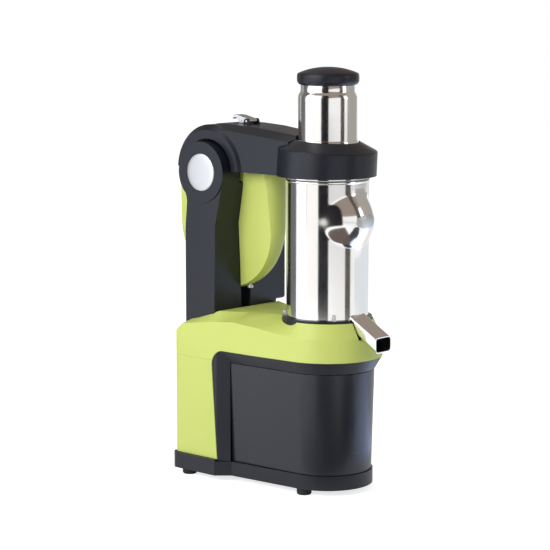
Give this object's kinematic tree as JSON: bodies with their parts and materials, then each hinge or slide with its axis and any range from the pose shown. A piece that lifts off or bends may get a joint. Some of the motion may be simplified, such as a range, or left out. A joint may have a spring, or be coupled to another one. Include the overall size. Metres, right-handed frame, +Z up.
{
  "type": "cold press juicer",
  "caption": "Upright slow juicer: steel bowl with slanted spout, lifting arm with feed chute and pusher over it, and a pull-out pulp container in a green and black body.",
  "frame": {"origin": "on the floor, under the middle of the outline box", "axes": "+Z up, front (spout) towards -Y, controls on the +X side"},
  "size_m": [0.218, 0.433, 0.68],
  "materials": {
    "green_shell": "lime green, fine satin moulding",
    "black_shell": "charcoal satin moulding",
    "container_plastic": "dark satin moulding",
    "rubber_black": "moulded rubber",
    "polished_steel": "polished stainless steel",
    "satin_steel": "turned or sheet steel",
    "cast_aluminium": "cast, machined where it fits",
    "silver_disc": "satin silver",
    "bronze": "sintered bronze",
    "screw_plastic": "food safe dark plastic",
    "motor_paint": "painted housing",
    "board_green": "circuit board",
    "start_green": "green push button",
    "stop_red": "red push button",
    "seal_white": "food grade silicone"
  },
  "bodies": {
    "base": {"base_tray": "black_shell", "rubber_feet": "rubber_black", "foot_screws": "satin_steel", "column_shell": "green_shell", "back_panel": "black_shell", "panel_screws": "satin_steel", "power_inlet": "black_shell", "deck_shell": "green_shell", "container_surround": "black_shell", "chassis_plate": "satin_steel", "bowl_turret": "black_shell", "lower_bearing": "satin_steel", "upper_bearing": "satin_steel", "shaft_seal": "rubber_black", "drive_belt": "rubber_black", "pulp_duct": "polished_steel", "motor": "motor_paint", "board_posts": "satin_steel", "control_board": "board_green", "bowl": "polished_steel", "spout": "polished_steel", "badge_plate": "silver_disc", "bowl_lugs": "satin_steel", "filter_basket": "satin_steel", "right_upright": "black_shell", "left_upright": "black_shell", "right_disc": "silver_disc", "left_disc": "silver_disc", "pivot_shaft": "satin_steel", "rear_housing_right": "green_shell", "rear_housing_left": "green_shell", "housing_screw": "satin_steel", "control_box": "black_shell", "speed_dial_unit": "screw_plastic", "switch_block": "screw_plastic"},
    "drive": {"drive_shaft": "satin_steel", "drive_pulley": "cast_aluminium", "screw": "screw_plastic"},
    "rotor": {"motor_shaft": "satin_steel", "motor_pulley": "satin_steel", "motor_fan": "screw_plastic"},
    "container": {"pulp_container": "container_plastic"},
    "arm": {"arm": "black_shell", "arm_cover": "black_shell", "cover_screws": "satin_steel", "hinge_bushes": "bronze", "lid": "polished_steel", "lid_seal": "seal_white", "feed_chute": "polished_steel", "chute_collar": "polished_steel", "latch_pin": "satin_steel"},
    "latch": {"latch_lever": "polished_steel"},
    "pusher": {"pusher": "screw_plastic", "pusher_cap": "black_shell"},
    "knob": {"speed_knob": "black_shell"},
    "start": {"start_button": "start_green"},
    "stop": {"stop_button": "stop_red"}
  },
  "joints": [
    {"name": "screw_spin", "type": "hinge", "parent": "base", "child": "drive", "pos_m": [-0.007, -0.0995, 0.3], "axis": [0, 0, 1], "continuous": true},
    {"name": "motor_spin", "type": "hinge", "parent": "base", "child": "rotor", "pos_m": [-0.007, 0.11225, 0.2], "axis": [0, 0, 1], "continuous": true},
    {"name": "container_slide", "type": "slide", "parent": "base", "child": "container", "axis": [0, -1, 0], "range_m": [0, 0.23]},
    {"name": "arm_hinge", "type": "hinge", "parent": "base", "child": "arm", "pos_m": [-0.007, 0.1095, 0.505], "axis": [-1, 0, 0], "range_deg": [0, 50]},
    {"name": "latch_lift", "type": "hinge", "parent": "arm", "child": "latch", "pos_m": [-0.007, 0.0665, 0.5872], "axis": [1, 0, 0], "range_deg": [0, 40]},
    {"name": "pusher_slide", "type": "slide", "parent": "arm", "child": "pusher", "axis": [0, 0, 1], "range_m": [0, 0.145]},
    {"name": "knob_turn", "type": "hinge", "parent": "base", "child": "knob", "pos_m": [0.097, 0.114, 0.322], "axis": [1, 0, 0], "range_deg": [0, 270]},
    {"name": "start_press", "type": "slide", "parent": "base", "child": "start", "axis": [-1, 0, 0], "range_m": [0, 0.0025], "stiffness_N_per_m": 600},
    {"name": "stop_press", "type": "slide", "parent": "base", "child": "stop", "axis": [-1, 0, 0], "range_m": [0, 0.0025], "stiffness_N_per_m": 600}
  ],
  "couplings": [
    {"joint": "motor_spin", "follows": "screw_spin", "ratio": 2}
  ]
}
